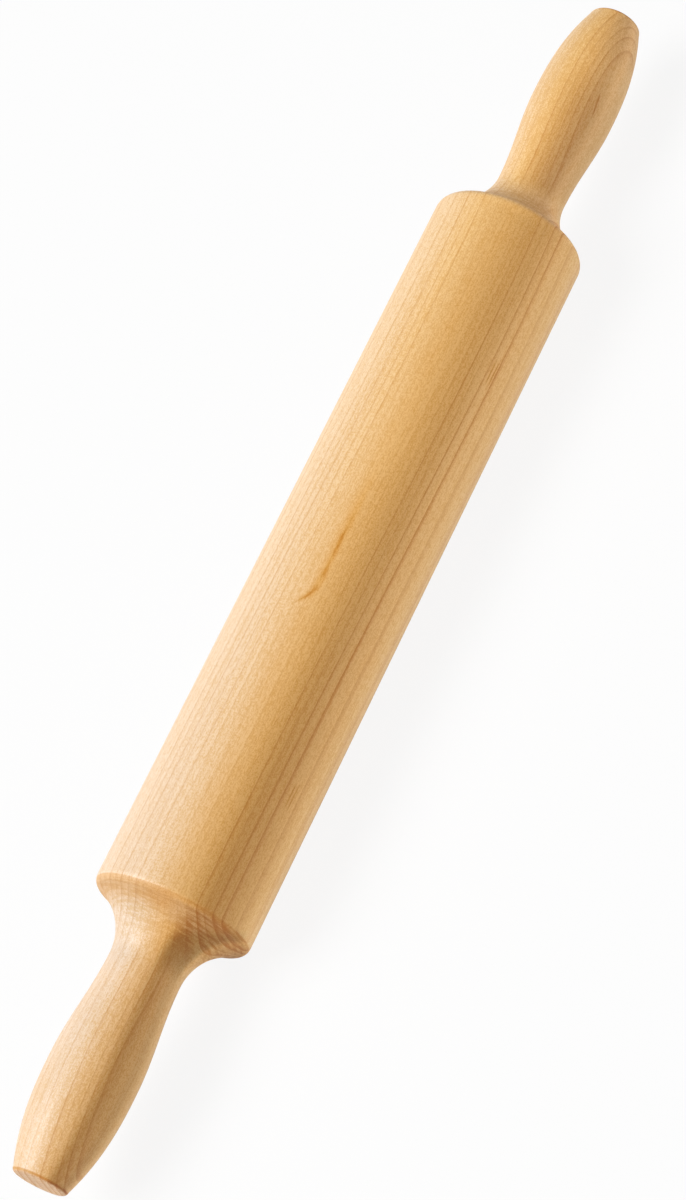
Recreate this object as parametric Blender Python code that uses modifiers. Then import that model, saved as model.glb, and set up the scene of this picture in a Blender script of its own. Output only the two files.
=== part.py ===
"""A one-piece rolling pin, turned on a lathe from a single blank of pale hardwood.

Metres, +Z up. The pin lies along X on the plane z = 0, with the middle of its length over the origin.
Barrel, shoulders, coves, necks and grips are one outline, the same at both ends, and nothing moves.
"""

import math

import bpy

# Barrel: a true cylinder between its two rims, so that it rolls dough to an even thickness.
BARREL_LENGTH = 0.243
BARREL_DIAMETER = 0.050

# Shoulder: the rim's convex rounding runs straight into the hollow cove, which ends at the neck.
RIM_RADIUS = 0.003
COVE_RADIUS = 0.018

# Handle: from the barrel's rim out to the flat end face.
HANDLE_LENGTH = 0.0885
NECK_DIAMETER = 0.023
GRIP_DIAMETER = 0.0278
GRIP_FROM_END = 0.0355
END_DIAMETER = 0.0177
END_EASE = 0.0015

# How full the bulb stays before it draws in to the end: 2 is a parabola, more is squarer.
GRIP_FULLNESS = 2.5

# Fineness of the turned surface. Twice an even number of facets leaves one flat underneath.
FACETS = 64
RIM_STEPS = 7
COVE_STEPS = 10
FLANK_STEPS = 9
BULB_STEPS = 10
EASE_STEPS = 3

WOOD_COLOUR = (0.70, 0.45, 0.20, 1.0)
WOOD_ROUGHNESS = 0.5


def arc(centre_x, centre_r, radius, start, stop, steps):
    """Points of a circle in the outline's plane. Angle 0 points away from the axis, and grows to +x."""
    points = []
    for i in range(steps + 1):
        angle = start + (stop - start) * i / steps
        points.append((centre_x + radius * math.sin(angle), centre_r + radius * math.cos(angle)))
    return points


def shoulder():
    """Rim rounding and cove as two arcs that meet on a common tangent, from barrel to neck."""
    rim_x = BARREL_LENGTH / 2
    drop = (BARREL_DIAMETER - NECK_DIAMETER) / 2
    reach = RIM_RADIUS + COVE_RADIUS
    turn = math.acos(max(0.0, 1 - drop / reach))
    neck_x = rim_x + reach * math.sin(turn)
    rim = arc(rim_x, BARREL_DIAMETER / 2 - RIM_RADIUS, RIM_RADIUS, 0.0, turn, RIM_STEPS)
    cove = arc(neck_x, NECK_DIAMETER / 2 + COVE_RADIUS, COVE_RADIUS, math.pi + turn, math.pi, COVE_STEPS)
    # Where the drop is more than both arcs take, the turn is square and a flat web joins them.
    return rim + (cove if drop > reach else cove[1:])


def flank(neck_x, grip_x):
    """The handle swells from neck to grip in half a cosine wave, level at both ends."""
    rise = (GRIP_DIAMETER - NECK_DIAMETER) / 2
    points = []
    for i in range(1, FLANK_STEPS + 1):
        share = i / FLANK_STEPS
        radius = NECK_DIAMETER / 2 + rise * (1 - math.cos(math.pi * share)) / 2
        points.append((neck_x + (grip_x - neck_x) * share, radius))
    return points


def bulb(grip_x, edge_x):
    """The bulb draws in from its widest place to the edge of the end face."""
    fall = (GRIP_DIAMETER - END_DIAMETER) / 2
    points = []
    for i in range(1, BULB_STEPS + 1):
        share = i / BULB_STEPS
        radius = GRIP_DIAMETER / 2 - fall * share**GRIP_FULLNESS
        points.append((grip_x + (edge_x - grip_x) * share, radius))
    return points


def half_outline():
    """(distance from the middle, radius) from the barrel's rim out to the centre of the end face."""
    end_x = BARREL_LENGTH / 2 + HANDLE_LENGTH
    edge_x = end_x - END_EASE
    points = shoulder()
    points += flank(points[-1][0], end_x - GRIP_FROM_END)
    points += bulb(end_x - GRIP_FROM_END, edge_x)
    points += arc(edge_x, END_DIAMETER / 2 - END_EASE, END_EASE, 0.0, math.pi / 2, EASE_STEPS)[1:]
    points.append((end_x, 0.0))
    return points


def turned_mesh():
    """The outline as one wire in the XZ plane, from the top end face down to the bottom one."""
    half = half_outline()
    outline = [(x, radius) for x, radius in reversed(half)] + [(-x, radius) for x, radius in half]
    # Each facet's middle, not its corners, lies at the named radius, so the pin rests on a flat
    # at its true height.
    reach = 1 / math.cos(math.pi / FACETS)
    points = [(radius * reach, 0.0, x) for x, radius in outline]
    edges = [(i, i + 1) for i in range(len(points) - 1)]
    mesh = bpy.data.meshes.new("rolling_pin")
    mesh.from_pydata(points, edges, [])
    return mesh


def wood():
    material = bpy.data.materials.new("pale_wood")
    material.use_nodes = True
    shader = material.node_tree.nodes["Principled BSDF"]
    shader.inputs["Base Color"].default_value = WOOD_COLOUR
    shader.inputs["Roughness"].default_value = WOOD_ROUGHNESS
    shader.inputs["Metallic"].default_value = 0.0
    return material


def rolling_pin(collection):
    mesh = turned_mesh()
    mesh.materials.append(wood())
    pin = bpy.data.objects.new("rolling_pin", mesh)
    collection.objects.link(pin)

    turning = pin.modifiers.new("turning", "SCREW")
    turning.axis = "Z"
    turning.steps = FACETS
    turning.render_steps = FACETS
    turning.use_merge_vertices = True
    turning.merge_threshold = 0.00001
    turning.use_smooth_shade = True

    # The turning axis goes from Z to X, and half a facet's turn puts a flat underneath.
    half_facet = math.pi / FACETS
    pin.rotation_mode = "ZYX"
    pin.rotation_euler = (0.0, math.pi / 2, half_facet)
    pin.location = (0.0, 0.0, BARREL_DIAMETER / 2)
    return pin


for left_over in list(bpy.data.objects):
    bpy.data.objects.remove(left_over, do_unlink=True)

parts = bpy.data.collections.new("rolling_pin_with_handles")
bpy.context.scene.collection.children.link(parts)
rolling_pin(parts)
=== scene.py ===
import math
from itertools import accumulate

import bpy
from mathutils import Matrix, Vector


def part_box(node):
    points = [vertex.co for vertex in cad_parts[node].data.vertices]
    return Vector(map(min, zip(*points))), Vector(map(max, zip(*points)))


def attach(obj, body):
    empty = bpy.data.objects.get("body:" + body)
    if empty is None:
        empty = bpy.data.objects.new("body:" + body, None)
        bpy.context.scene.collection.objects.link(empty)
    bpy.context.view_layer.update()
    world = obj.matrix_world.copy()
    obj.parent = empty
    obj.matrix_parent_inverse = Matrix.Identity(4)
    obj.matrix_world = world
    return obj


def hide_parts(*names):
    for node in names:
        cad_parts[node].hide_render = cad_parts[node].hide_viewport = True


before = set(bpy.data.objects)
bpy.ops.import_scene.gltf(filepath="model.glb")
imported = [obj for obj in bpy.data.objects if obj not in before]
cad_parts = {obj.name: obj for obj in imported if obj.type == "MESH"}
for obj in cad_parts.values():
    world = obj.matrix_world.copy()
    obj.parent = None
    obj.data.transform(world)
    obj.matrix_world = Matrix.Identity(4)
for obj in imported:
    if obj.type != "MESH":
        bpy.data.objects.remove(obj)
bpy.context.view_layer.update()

# The turned pin
# One blank of pale hardwood, turned on a lathe from end to end: a straight barrel, shoulders that run
# through hollow coves into slim necks, and bulb grips cut square at their ends. Nothing is joined to it.
MM = 0.001
BARREL_LENGTH = 243 * MM
BARREL_DIAMETER = 50 * MM
RIM_RADIUS = 3 * MM
COVE_RADIUS = 18 * MM
HANDLE_LENGTH = 88.5 * MM
NECK_DIAMETER = 23 * MM
GRIP_DIAMETER = 27.8 * MM
GRIP_FROM_END = 35.5 * MM
END_DIAMETER = 17.7 * MM
END_EASE = 1.5 * MM
GRIP_FULLNESS = 2.5

# Fineness of the turned surface: facets round it, and steps along each stretch of the outline.
FACETS = 160
BARREL_STEPS = 30
RIM_STEPS = 14
COVE_STEPS = 30
FLANK_STEPS = 24
BULB_STEPS = 30
EASE_STEPS = 6
FACE_STEPS = 8
SEAM_CLOSES_WITHIN = 0.005 * MM


class Wire:
    """A socket of a node tree that can be added, multiplied and so on, as a number can."""

    def __init__(self, socket):
        self.socket = socket
        self.tree = socket.id_data

    def node(self, kind, settings=None, values=None, output=0):
        """Adds any other node: its settings first, then the values or links of its inputs."""
        new = self.tree.nodes.new(kind)
        for name, setting in (settings or {}).items():
            if name == "stops":
                ramp = new.color_ramp
                while len(ramp.elements) < len(setting):
                    ramp.elements.new(1.0)
                for stop, (position, colour) in zip(ramp.elements, setting):
                    stop.position = position
                    stop.color = colour
            else:
                setattr(new, name, setting)
        for name, value in (values or {}).items():
            for one in value if isinstance(value, list) else [value]:
                if isinstance(one, Wire):
                    self.tree.links.new(one.socket, new.inputs[name])
                else:
                    new.inputs[name].default_value = one
        return Wire(new.outputs[output])

    def out(self, name):
        """Another output of the node that this socket belongs to."""
        return Wire(self.socket.node.outputs[name])

    def math(self, operation, *values):
        return self.node("ShaderNodeMath", {"operation": operation}, dict(enumerate(values)))

    def __add__(self, other):
        return self.math("ADD", self, other)

    def __radd__(self, other):
        return self.math("ADD", other, self)

    def __sub__(self, other):
        return self.math("SUBTRACT", self, other)

    def __rsub__(self, other):
        return self.math("SUBTRACT", other, self)

    def __mul__(self, other):
        return self.math("MULTIPLY", self, other)

    def __rmul__(self, other):
        return self.math("MULTIPLY", other, self)

    def __truediv__(self, other):
        return self.math("DIVIDE", self, other)

    def __pow__(self, other):
        return self.math("POWER", self, other)


def turning_tree():
    """The lathe work: each stretch of the outline is a sheet that is wrapped round the pin's axis."""
    tree = bpy.data.node_groups.new("turning", "GeometryNodeTree")
    tree.is_modifier = True
    for name in ("Barrel Length", "Barrel Diameter", "Rim Radius", "Cove Radius", "Handle Length",
                 "Neck Diameter", "Grip Diameter", "Grip From End", "End Diameter", "End Ease",
                 "Grip Fullness"):
        tree.interface.new_socket(name, in_out="INPUT", socket_type="NodeSocketFloat")
    tree.interface.new_socket("Facets", in_out="INPUT", socket_type="NodeSocketInt")
    tree.interface.new_socket("Wood", in_out="INPUT", socket_type="NodeSocketMaterial")
    tree.interface.new_socket("Geometry", in_out="OUTPUT", socket_type="NodeSocketGeometry")
    given = tree.nodes.new("NodeGroupInput")
    size = {socket.name: Wire(socket) for socket in given.outputs if socket.name}

    # Each sheet is a square grid round the origin, so half its side is added to count up from 0.
    facets = size["Facets"]
    sheet_side = 1.0
    spot = facets.node("GeometryNodeInputPosition")
    place = facets.node("ShaderNodeSeparateXYZ", {}, {"Vector": spot})
    share = place.out("X") + sheet_side / 2
    round_the_pin = (place.out("Y") + sheet_side / 2) * (2 * math.pi)

    def stretch(steps, along, radius):
        """One sheet, steps long, whose distance from the pin's middle and radius follow share."""
        sheet = facets.node("GeometryNodeMeshGrid", {}, {
            "Size X": sheet_side, "Size Y": sheet_side,
            "Vertices X": steps + 1, "Vertices Y": facets + 1})
        wrapped = facets.node("ShaderNodeCombineXYZ", {}, {
            "X": along,
            "Y": radius * round_the_pin.math("SINE", round_the_pin),
            "Z": radius * round_the_pin.math("COSINE", round_the_pin)})
        return facets.node("GeometryNodeSetPosition", {}, {"Geometry": sheet, "Position": wrapped})

    # Rim and cove are arcs that meet on a common tangent. The turn to it follows from the diameters.
    rim, cove = size["Rim Radius"], size["Cove Radius"]
    barrel_end = size["Barrel Length"] / 2
    drop = (size["Barrel Diameter"] - size["Neck Diameter"]) / 2
    reach = rim + cove
    turn = reach.math("ARCCOSINE", 1 - drop / reach)
    neck_at = barrel_end + reach * turn.math("SINE", turn)
    end_at = barrel_end + size["Handle Length"]
    grip_at = end_at - size["Grip From End"]
    edge_at = end_at - size["End Ease"]
    barrel_radius, neck_radius = size["Barrel Diameter"] / 2, size["Neck Diameter"] / 2
    grip_radius, end_radius = size["Grip Diameter"] / 2, size["End Diameter"] / 2
    face_radius = end_radius - size["End Ease"]

    rim_turn = turn * share
    cove_turn = turn * (1 - share)
    ease_turn = share * (math.pi / 2)
    swell = (1 - share.math("COSINE", share * math.pi)) / 2
    half = [
        stretch(BARREL_STEPS, barrel_end * share, barrel_radius),
        stretch(RIM_STEPS, barrel_end + rim * share.math("SINE", rim_turn),
                barrel_radius - rim * (1 - share.math("COSINE", rim_turn))),
        stretch(COVE_STEPS, neck_at - cove * share.math("SINE", cove_turn),
                neck_radius + cove * (1 - share.math("COSINE", cove_turn))),
        stretch(FLANK_STEPS, neck_at + (grip_at - neck_at) * share,
                neck_radius + (grip_radius - neck_radius) * swell),
        stretch(BULB_STEPS, grip_at + (edge_at - grip_at) * share,
                grip_radius - (grip_radius - end_radius) * share ** size["Grip Fullness"]),
        stretch(EASE_STEPS, edge_at + size["End Ease"] * share.math("SINE", ease_turn),
                face_radius + size["End Ease"] * share.math("COSINE", ease_turn)),
        stretch(FACE_STEPS, end_at, face_radius * (1 - share)),
    ]
    far_half = facets.node("GeometryNodeJoinGeometry", {}, {"Geometry": half})
    near_half = facets.node("GeometryNodeTransform", {}, {"Geometry": far_half, "Scale": (-1, 1, 1)})
    near_half = facets.node("GeometryNodeFlipFaces", {}, {"Mesh": near_half})
    whole = facets.node("GeometryNodeJoinGeometry", {}, {"Geometry": [far_half, near_half]})
    whole = facets.node("GeometryNodeMergeByDistance", {}, {
        "Geometry": whole, "Distance": SEAM_CLOSES_WITHIN})
    lift = facets.node("ShaderNodeCombineXYZ", {}, {"Z": barrel_radius})
    whole = facets.node("GeometryNodeTransform", {}, {"Geometry": whole, "Translation": lift})
    whole = facets.node("GeometryNodeSetShadeSmooth", {}, {"Geometry": whole})
    whole = facets.node("GeometryNodeRealizeInstances", {}, {"Geometry": whole})
    whole = facets.node("GeometryNodeSetMaterial", {}, {"Geometry": whole, "Material": size["Wood"]})
    made = tree.nodes.new("NodeGroupOutput")
    tree.links.new(whole.socket, made.inputs["Geometry"])
    return tree


# The wood's figure. The blank was sawn about 98 mm from the tree's pith, so its growth rings cross it as
# nearly flat layers, a little over 2 mm apart, and the pith strays sideways from one end to the other, in
# a curve of three terms. Its top layer is turned away from the camera, so that the flat-sawn side faces
# the picture's right. Lengths are in millimetres. The rings' widths, from the innermost out, are set so
# that their lines lie about where the photograph shows them.
BLANK_TURN = math.radians(-76.5)
PITH_DEPTH = 98.4
PITH_STRAYS = (9.3, -1.6, -4.5)
STRAY_LENGTH = 100.0
RING_START = 69.0
RING_WIDTHS = (2.6, 2.7, 2.7, 2.2, 2.3, 2.1, 2.9, 2.8, 1.9, 1.8, 2.2, 2.3, 2.5, 2.6, 2.7, 2.7, 2.0,
               2.4, 2.5, 2.6, 2.5, 2.6, 2.4)
RING_WANDER = 0.6

# A year, in shares of itself: where its layer and its line begin to darken, and where both are darkest.
# The line of the weakest year keeps about a third of its strength.
LAYER_BEGINS = 0.10
LINE_BEGINS = 0.70
YEAR_DARKEST = 0.96
WEAKEST_YEAR = 0.35

# Single marks: the gum streak, a short slanting mark on the far handle, and two groups of hairlines.
# AT is in millimetres along the pin from its middle, negative towards the near end, and TURN in degrees
# round it from the topmost growth ring. A group of hairlines has both. The streak's GIRTH is in
# millimetres round the barrel, the mark's SLANT in degrees for each millimetre along the pin, and the
# hairlines' SPACING in degrees.
STREAK_GIRTH = 46.9
STREAK_WANDER = 1.1
STREAK_GAP_AT = -18
HOOK_AT = -19
HOOK_BEND = 0.065
MARK_AT = 176.5
MARK_TURN = 143
MARK_SLANT = 0.54
HAIRLINE_GROUPS = ((69, 153), (-80, 158.5))
HAIRLINE_SPACING = 2.8

# The wood's colour changes round the pin: (degrees round from the topmost growth ring, colour). Part of
# this change is painted light. The colours are paler on the side that the light falls on, as a painted
# highlight, and darkest and most saturated at about 141 degrees, as painted shade for the band that the
# light leaves dark. The borders between the colours wander by as many degrees in all as COLOUR_WANDER.
ROUND_TONES_AND_SHADE = (
    (-60, (0.95, 0.67, 0.36, 1.0)),
    (58, (0.93, 0.69, 0.43, 1.0)),
    (88, (0.95, 0.63, 0.28, 1.0)),
    (112, (0.92, 0.55, 0.195, 1.0)),
    (141, (0.83, 0.475, 0.163, 1.0)),
    (158, (0.95, 0.58, 0.23, 1.0)),
    (180, (0.94, 0.62, 0.27, 1.0)),
    (300, (0.95, 0.67, 0.36, 1.0)))
COLOUR_WANDER = 24
# Pale sapwood, also laid on the lit side as a painted highlight.
SAPWOOD_AND_HIGHLIGHT = (0.88, 0.71, 0.57, 1.0)
FACE_PALE = (0.90, 0.66, 0.47, 1.0)

# What darkens it, as the shares of red, green and blue that are left where it is strongest.
GRAIN_TINT = (0.87, 0.74, 0.52, 1.0)
LINE_TINT = (0.76, 0.53, 0.28, 1.0)
# Painted shade on the side that the light leaves dark, towards the near end.
NEAR_SHADE_TINT = (0.72, 0.64, 0.47, 1.0)
# Painted shadow on the near shoulder, over end grain that is partly darker.
SHOULDER_SHADOW_TINT = (0.61, 0.58, 0.47, 1.0)
# Painted shade under the handles, and duller wood on the far neck and on the barrel before it.
DULL_AND_SHADE_TINT = (0.78, 0.73, 0.66, 1.0)
COOL_TINT = (0.88, 0.92, 0.98, 1.0)
# A warmer brown round the end faces, and partly painted shade under the near rim.
EDGE_BROWN_AND_SHADE_TINT = (0.81, 0.62, 0.34, 1.0)
AMBER_TINT = (0.81, 0.64, 0.32, 1.0)
HONEY_TINT = (0.94, 0.80, 0.46, 1.0)

# The finish: satin, with the grain in very low relief.
SATIN = 0.45
RELIEF_DEPTH = 0.02 * MM
RELIEF_STRENGTH = 0.4
WOOD_IOR = 1.48


def wood():
    material = bpy.data.materials.new("pale_turned_wood")
    material.use_nodes = True
    tree = material.node_tree
    shader = tree.nodes["Principled BSDF"]
    point = Wire(tree.nodes.new("ShaderNodeTexCoord").outputs["Object"])
    blank = point.node("ShaderNodeMapping", {"vector_type": "TEXTURE"}, {
        "Vector": point, "Location": (0, 0, BARREL_DIAMETER / 2), "Rotation": (BLANK_TURN, 0, 0),
        "Scale": (MM, MM, MM)})
    spot = point.node("ShaderNodeSeparateXYZ", {}, {"Vector": blank})
    along, across, height = spot.out("X"), spot.out("Y"), spot.out("Z")

    def noise(sizes, seed, detail=2, at=(along, across, height)):
        """Smooth noise between 0 and 1, whose patches are about as many millimetres long as the sizes."""
        where = point.node("ShaderNodeCombineXYZ", {}, {i: at[i] / sizes[i] for i in range(3)})
        return point.node("ShaderNodeTexNoise", {"noise_dimensions": "4D"}, {
            "Vector": where, "W": seed, "Scale": 1.0, "Detail": detail})

    def swing(value, width):
        """The same noise, but as wide as given and with its middle at 0."""
        return (value - 0.5) * width

    def rise(value, low, high, start=0.0, stop=1.0):
        """start below low, stop above high, and a smooth step from one to the other."""
        return point.node("ShaderNodeMapRange", {"interpolation_type": "SMOOTHSTEP"}, {
            "Value": value, "From Min": low, "From Max": high, "To Min": start, "To Max": stop})

    def fall(value, low, high):
        """1 below low, 0 above high, and a smooth step from one to the other."""
        return rise(value, low, high, 1.0, 0.0)

    def band(value, comes, goes):
        """1 in a band of values and 0 outside it: it comes in over one stretch and goes over another."""
        return rise(value, *comes) * fall(value, *goes)

    def mixed(factor, under, over, blend="MULTIPLY"):
        """over laid on under. The names of a Mix node's colour sockets repeat, so they go by number."""
        return point.node("ShaderNodeMix", {"data_type": "RGBA", "blend_type": blend}, {
            0: factor, 6: under, 7: over}, 2)

    # Where a point of the wood lies: millimetres from the pin's middle towards either end (reach), from
    # its axis, from the pith (radius) and round the pith (sideways), and degrees round the pin (turn).
    reach = point.math("ABSOLUTE", along)
    from_axis = point.math("SQRT", across ** 2 + height ** 2)
    turn = point.math("ARCTAN2", 0 - across, height) * (180 / math.pi)
    length = along / STRAY_LENGTH
    slope, curve, twist = PITH_STRAYS
    aside = across - length * (slope + length * (curve + length * twist))
    above = height + PITH_DEPTH
    wander = swing(noise((130, 26, 26), seed=3, detail=0), RING_WANDER)
    radius = point.math("SQRT", aside ** 2 + above ** 2) + wander
    sideways = point.math("ARCTAN2", aside, above) * PITH_DEPTH

    # The handles, the flat end faces, and end grain, wherever the surface turns towards the pin's end.
    handle = rise(reach, 130, 145)
    face = rise(reach, 209.5, 209.9)
    facing = point.node("ShaderNodeSeparateXYZ", {}, {"Vector": point.out("Normal")})
    end_grain = rise(point.math("ABSOLUTE", facing.out("X")), 0.15, 0.75)

    # Growth rings: a year's layer darkens slowly, and a thin darker line ends it.
    radii = list(accumulate((RING_START,) + RING_WIDTHS))
    span, years = radii[-1] - radii[0], len(radii) - 1
    stops = [((ring - radii[0]) / span, (i / years,) * 3 + (1,)) for i, ring in enumerate(radii)]
    year = point.node("ShaderNodeValToRGB", {"stops": stops}, {"Fac": (radius - radii[0]) / span}) * years
    season = point.math("FRACT", year)
    line = band(season, (LINE_BEGINS, YEAR_DARKEST), (YEAR_DARKEST, 1.0))
    layer = band(season, (LAYER_BEGINS, YEAR_DARKEST), (YEAR_DARKEST, 1.0))

    # How strong they are, by their distance from the pith. On the barrel the inner years show most, and
    # on the handles those from about 87 mm out. No two years are alike, nor is one the same all along.
    inner_years, outer_years = (83.0, 86.5), (98.0, 100.0)
    barrel_lines = rise(radius, *inner_years, 1.0, 0.25) + (
        rise(radius, *outer_years, 0.0, 0.35) * (1 - 0.5 * end_grain))
    first_arch, later_arches, last_arch = (86.9, 87.4), (91.5, 95.0), ((96.0, 96.5), (97.5, 97.7))
    handle_lines = rise(radius, *first_arch) * rise(radius, *later_arches, 0.7, 0.35) + (
        band(radius, *last_arch) * 0.5 + face * 0.4)
    vigour = point.node("ShaderNodeTexWhiteNoise", {"noise_dimensions": "1D"}, {
        "W": point.math("FLOOR", year)})
    strength = (barrel_lines * (1 - handle) + handle_lines * handle) * (
        WEAKEST_YEAR + (1 - WEAKEST_YEAR) * vigour) * (
        1 + swing(noise((60, 5, 5), seed=6, detail=1), 0.8))
    line = line * strength

    # Streaks, short specks, pores, blotches and dark flecks along the grain, rays that run out from the
    # pith, and the torn fibres of the hollows, in short arcs across their slope.
    streak = noise((90, 0.6, 0.6), seed=1, detail=1)
    speck = noise((1.7, 0.34, 0.34), seed=2, detail=1)
    pore = noise((0.5, 0.3, 0.3), seed=12, detail=0)
    blotch = noise((14, 5, 5), seed=4)
    fleck = rise(noise((2.8, 0.45, 0.45), seed=7, detail=1), 0.70, 0.80)
    ray = rise(noise((3.0, 0.45, 7.0), seed=5, detail=1, at=(along, sideways, radius)), 0.48, 0.66)
    torn = rise(noise((1.5, 8, 8), seed=14, detail=3, at=(reach - from_axis, across, height)), 0.44, 0.58)

    # The gum streak, which faces the camera and hooks aside at its end: amber with a gap in it, inside a
    # wider edge of honey.
    girth = turn * (math.pi / 180 * BARREL_DIAMETER / MM / 2)
    hook = point.math("MAXIMUM", HOOK_AT - along, 0)
    off_streak = point.math("ABSOLUTE", (
        girth - STREAK_GIRTH + HOOK_BEND * hook ** 2 + swing(noise((7, 3, 3), seed=9), STREAK_WANDER)))
    gap = rise(point.math("ABSOLUTE", along - STREAK_GAP_AT), 0.5, 2.5, 0.1, 1.0)
    amber = fall(off_streak, 0.0, 0.9) * band(along, (-28, -26), (-4, 13)) * gap * (
        rise(noise((4.5, 2, 2), seed=11), 0.33, 0.58, 0.4, 1.1))
    honey = fall(off_streak, 0.2, 2.2) * band(along, (-27, -23), (4, 28))

    # The short dark mark on the far handle, and the two groups of short hairlines on the barrel.
    off_mark = point.math("ABSOLUTE", turn - MARK_TURN - (MARK_AT - along) * MARK_SLANT)
    mark = fall(off_mark, 0.3, 1.8) * band(along, (167, 171), (175, 178))
    hairlines = fall(point.math("PINGPONG", turn, HAIRLINE_SPACING / 2), 0.2, 1.0) * sum(
        fall(point.math("ABSOLUTE", along - middle), 2, 6)
        * fall(point.math("ABSOLUTE", turn - degrees), 2.5, 4)
        for middle, degrees in HAIRLINE_GROUPS)

    # The colour round the pin. The patches that follow each have a stretch along the pin, in millimetres,
    # and one round it, in degrees. Broad noise keeps their edges from being straight.
    broad = noise((190, 30, 30), seed=8, detail=0)
    seam = ROUND_TONES_AND_SHADE[0][0]
    round_at = point.math("FLOORED_MODULO", turn - seam, 360) + seam + swing(broad, COLOUR_WANDER)
    # The tones round the pin, with a painted highlight on the lit side and painted shade in the band that
    # the light leaves dark.
    colour = point.node("ShaderNodeValToRGB", {"stops": [
        ((degrees - seam) / 360, tone) for degrees, tone in ROUND_TONES_AND_SHADE]}, {
        "Fac": (round_at - seam) / 360})
    near = fall(along, -230, 100)
    brown_side = rise(round_at, 122, 140)

    # It pales along one side, most at the near end. This is partly sapwood and partly a painted highlight
    # on the side that the light falls on. It also pales a little in the far cove, on the handles' other
    # side and on the lip of the near cove.
    sap_and_highlight = fall(along, -220, 150) * band(round_at, (seam, 0), (72, 134))
    far_cove = band(along, (122, 124), (128, 140))
    far_cove_pale = far_cove * rise(round_at, 150, 168, 0.3, 0.1)
    pink = handle * band(round_at, (98, 130), (165, 190))
    lip = near * band(reach, (123.3, 124.3), (127, 130)) * band(round_at, (112, 124), (150, 162))
    colour = mixed(sap_and_highlight + far_cove_pale + pink * 0.12 + lip * 0.3, colour, SAPWOOD_AND_HIGHLIGHT, "MIX")

    # It darkens on the brown side towards the near end, and most of all on the near shoulder. This is
    # painted shade where the light falls off. On the shoulder it is a painted shadow over end grain that is
    # partly darker. It is cooler in the near cove. It is darker under the handles, which is painted shade,
    # and duller on the far neck and on the barrel just before it.
    near_side_shade = near * brown_side * fall(round_at + along * 0.14, 140, 170)
    colour = mixed(near_side_shade, colour, NEAR_SHADE_TINT)
    near_cove = sap_and_highlight * band(reach, (123, 129), (139, 150))
    colour = mixed(near_cove, colour, COOL_TINT)
    # Painted shade under the handles, against the light that the floor throws up at them.
    under_handle_shade = handle * rise(round_at, 150, 176, 0.0, 0.7)
    far_neck = band(along, (134, 141), (165, 190)) * band(round_at, (82, 118), (145, 172))
    far_band = band(along, (20, 110), (118, 122)) * band(round_at, (80, 112), (125, 150))
    colour = mixed(under_handle_shade + far_neck * 0.8 + far_band * 0.4, colour, DULL_AND_SHADE_TINT)
    # Painted shadow of the rim and grip on the brown side of the near shoulder, over end grain that is
    # partly darker.
    shoulder_edge = rise(reach + (round_at - 148) * 0.2, 125.0, 130.5)
    shoulder = near * brown_side * shoulder_edge * fall(reach, 135, 144) * fall(round_at, 172, 186)
    colour = mixed(shoulder, colour, SHOULDER_SHADOW_TINT)

    # The flat end faces have one pale colour. A warmer brown runs round them and just under the near rim,
    # where the brown side has mostly a thin line of it. Under the rim this brown is partly end grain and
    # partly painted shade on the shoulder, which faces away from the light.
    colour = mixed(face * 0.8, colour, FACE_PALE, "MIX")
    face_rim = band(reach, (208.9, 209.3), (209.5, 209.9))
    wide_rim_shade = fall(reach, 124.5, 129) * (
        rise(round_at, 102, 134, 1.0, 0.1) + rise(round_at, 158, 170, 0.0, 0.4))
    thin_rim_shade = fall(reach, 122.9, 123.4) * rise(round_at, 110, 134, 0.0, 0.7)
    under_rim_shade = rise(reach, 122.4, 122.8) * (wide_rim_shade + thin_rim_shade)
    colour = mixed(under_rim_shade * near + face_rim, colour, EDGE_BROWN_AND_SHADE_TINT)

    # Over that lies the fine grain. It is stronger where the tool cut across the fibres and on the lit side
    # of the grips. It is weaker on the pale side, which is partly sapwood and partly painted highlight.
    cut = end_grain * (1 - face) * rise(reach, 122.5, 124.5)
    grips = (rise(along, 140, 160) + fall(along, -190, -165) * 0.9) * fall(round_at, 98, 130)
    fine = swing(speck, 2.4) + swing(pore, 2.8) + swing(streak, 1.7)
    grain = 0.4 - 0.1 * end_grain + grips * 0.3 + swing(blotch, 0.4) + fleck * 0.5 + ray * 0.1 + (
        fine * (1 - 0.45 * sap_and_highlight) + (ray * 0.3 + torn * 0.6) * cut)
    colour = mixed(grain, colour, GRAIN_TINT)

    # Last come the years' lines and layers, the mottle of the end faces, torn fibres and single marks.
    coarse = cut * near * brown_side
    layer = layer * strength * (0.1 + 0.25 * handle + 0.45 * end_grain + 0.6 * coarse)
    mottle = rise(noise((0.9, 0.9, 0.9), seed=13, detail=1), 0.46, 0.58) * face
    rough = torn * (coarse * 0.75 + cut * far_cove * 0.2)
    colour = mixed(line * 0.8 + layer + mottle * 0.35 + rough + mark, colour, LINE_TINT)
    colour = mixed(hairlines, colour, AMBER_TINT)
    colour = mixed(honey * 0.6, colour, HONEY_TINT)
    colour = mixed(amber, colour, AMBER_TINT)
    tree.links.new(colour.socket, shader.inputs["Base Color"])

    # End grain is a little rougher. Rays and the years' lines stand lower than the wood between them.
    roughness = SATIN + swing(speck, 0.12) + end_grain * 0.15
    tree.links.new(roughness.socket, shader.inputs["Roughness"])
    relief = (speck + pore + streak) * 0.3 - ray * 0.3 - line * 0.3
    bump = point.node("ShaderNodeBump", {}, {
        "Height": relief, "Distance": RELIEF_DEPTH, "Strength": RELIEF_STRENGTH})
    tree.links.new(bump.socket, shader.inputs["Normal"])
    shader.inputs["Metallic"].default_value = 0.0
    shader.inputs["IOR"].default_value = WOOD_IOR
    return material


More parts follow.
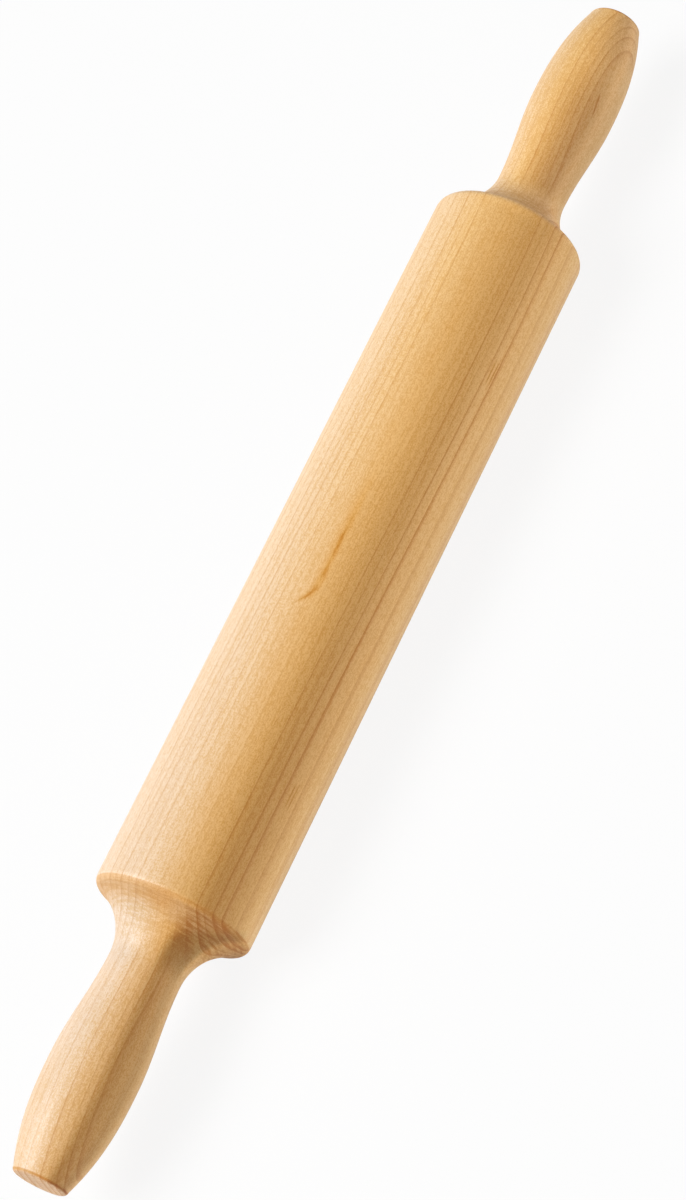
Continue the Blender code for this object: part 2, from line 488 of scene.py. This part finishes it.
pale_wood = wood()
turning = turning_tree()
lathe = bpy.data.objects.new("lathe", bpy.data.meshes.new("lathe"))
bpy.context.scene.collection.objects.link(lathe)
work = lathe.modifiers.new("turning", "NODES")
work.node_group = turning
settings = {
    "Barrel Length": BARREL_LENGTH, "Barrel Diameter": BARREL_DIAMETER, "Rim Radius": RIM_RADIUS,
    "Cove Radius": COVE_RADIUS, "Handle Length": HANDLE_LENGTH, "Neck Diameter": NECK_DIAMETER,
    "Grip Diameter": GRIP_DIAMETER, "Grip From End": GRIP_FROM_END, "End Diameter": END_DIAMETER,
    "End Ease": END_EASE, "Grip Fullness": GRIP_FULLNESS, "Facets": FACETS, "Wood": pale_wood}
for socket in turning.interface.items_tree:
    if socket.in_out == "INPUT":
        work[socket.identifier] = settings[socket.name]
turned = bpy.data.meshes.new_from_object(lathe.evaluated_get(bpy.context.evaluated_depsgraph_get()))
bpy.data.objects.remove(lathe)
bpy.data.node_groups.remove(turning)
pin = bpy.data.objects.new("turned_pin", turned)
bpy.context.scene.collection.objects.link(pin)
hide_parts("rolling_pin")
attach(pin, "root")


# The floor: a wide, plain, pale sheet that the pin lies on. To the camera it is mostly its own white, so
# that it shows as the photograph's clean background and still keeps the pin's soft shadow.
FLOOR_SIZE = 16.0
FLOOR_WHITE = (0.8, 0.8, 0.8, 1.0)
FLOOR_GLOW = 0.9

floor_mesh = bpy.data.meshes.new("floor")
corner = FLOOR_SIZE / 2
floor_mesh.from_pydata(
    [(-corner, -corner, 0), (corner, -corner, 0), (corner, corner, 0), (-corner, corner, 0)], [],
    [(0, 1, 2, 3)])
floor = bpy.data.objects.new("floor", floor_mesh)
bpy.context.scene.collection.objects.link(floor)
paper = bpy.data.materials.new("pale_floor")
paper.use_nodes = True
sheet = paper.node_tree
sheet.nodes.remove(sheet.nodes["Principled BSDF"])
matt = sheet.nodes.new("ShaderNodeBsdfDiffuse")
matt.inputs["Color"].default_value = FLOOR_WHITE
ray = Wire(sheet.nodes.new("ShaderNodeLightPath").outputs["Is Camera Ray"])
glow = ray.node("ShaderNodeEmission", {}, {"Strength": 1.0})
shown = ray.node("ShaderNodeMixShader", {}, {
    0: (ray + ray.out("Is Glossy Ray")) * FLOOR_GLOW, 1: Wire(matt.outputs[0]), 2: glow})
sheet.links.new(shown.socket, sheet.nodes["Material Output"].inputs["Surface"])
floor_mesh.materials.append(paper)


# The light: one wide softbox high up behind the pin, a low and weak one in front of it that is kept out of
# reflections, a small weak panel off each end for the end grain, and a dim pale room.
ROOM_WHITE = (1, 1, 1, 1)
ROOM_LIGHT = 0.05


def softbox(name, place, target, size, watts):
    lamp = bpy.data.lights.new(name, "AREA")
    lamp.shape = "RECTANGLE"
    lamp.size, lamp.size_y = size
    lamp.energy = watts
    holder = bpy.data.objects.new(name, lamp)
    bpy.context.scene.collection.objects.link(holder)
    holder.location = place
    holder.rotation_mode = "QUATERNION"
    holder.rotation_quaternion = (Vector(target) - Vector(place)).to_track_quat("-Z", "Y")
    return holder


softbox("softbox", place=(-1.08, 1.13, 2.56), target=(0, 0, 0), size=(2.2, 1.8), watts=111)
low_panel = softbox("low_panel", place=(0.35, -1.46, 0.1), target=(0, 0, 0.02), size=(0.6, 0.14), watts=7.4)
low_panel.visible_glossy = False
softbox("near_end_panel", place=(-1.2, 0.5, 0.7), target=(-0.2, 0, 0.02), size=(0.4, 0.4), watts=0.12)
softbox("far_end_panel", place=(1.2, -0.3, 0.8), target=(0.2, 0, 0.02), size=(0.4, 0.4), watts=0.6)

room = bpy.data.worlds.new("room")
bpy.context.scene.world = room
room.use_nodes = True
air = room.node_tree
dim = air.nodes["Background"]
dim.inputs["Color"].default_value = ROOM_WHITE
dim.inputs["Strength"].default_value = ROOM_LIGHT
looking = Wire(air.nodes.new("ShaderNodeLightPath").outputs["Is Camera Ray"])
white = looking.node("ShaderNodeBackground", {}, {"Strength": 1.0, "Color": ROOM_WHITE})
seen = looking.node("ShaderNodeMixShader", {}, {
    0: looking + looking.out("Is Glossy Ray"), 1: Wire(dim.outputs[0]), 2: white})
air.links.new(seen.socket, air.nodes["World Output"].inputs["Surface"])


# The camera. The photograph was taken with a long lens from about one metre, with the pin's lower left
# handle nearer. Here the pin lies level, so the camera rises above its axis, goes round towards that
# handle and rolls until the pin stands as in the picture.
PICTURE_HEIGHT = 1200
FOCAL_PIXELS = 3417
SENSOR_HEIGHT = 36
PIN_FROM_CAMERA = Vector((1.2, 11.1, -1042.5)) * MM
CAMERA_RISE = math.radians(48)
CAMERA_TURN = math.radians(19.912)
CAMERA_ROLL = math.radians(63.646)

lens = bpy.data.cameras.new("camera")
lens.sensor_width = SENSOR_HEIGHT
lens.lens = SENSOR_HEIGHT * FOCAL_PIXELS / PICTURE_HEIGHT
camera = bpy.data.objects.new("camera", lens)
bpy.context.scene.collection.objects.link(camera)
camera.rotation_mode = "ZYX"
camera.rotation_euler = (math.pi / 2 - CAMERA_RISE, -CAMERA_TURN, -CAMERA_ROLL)
low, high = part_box("rolling_pin")
camera.location = (low + high) / 2 - camera.rotation_euler.to_matrix() @ PIN_FROM_CAMERA
bpy.context.scene.camera = camera
bpy.context.scene.view_settings.view_transform = "Standard"
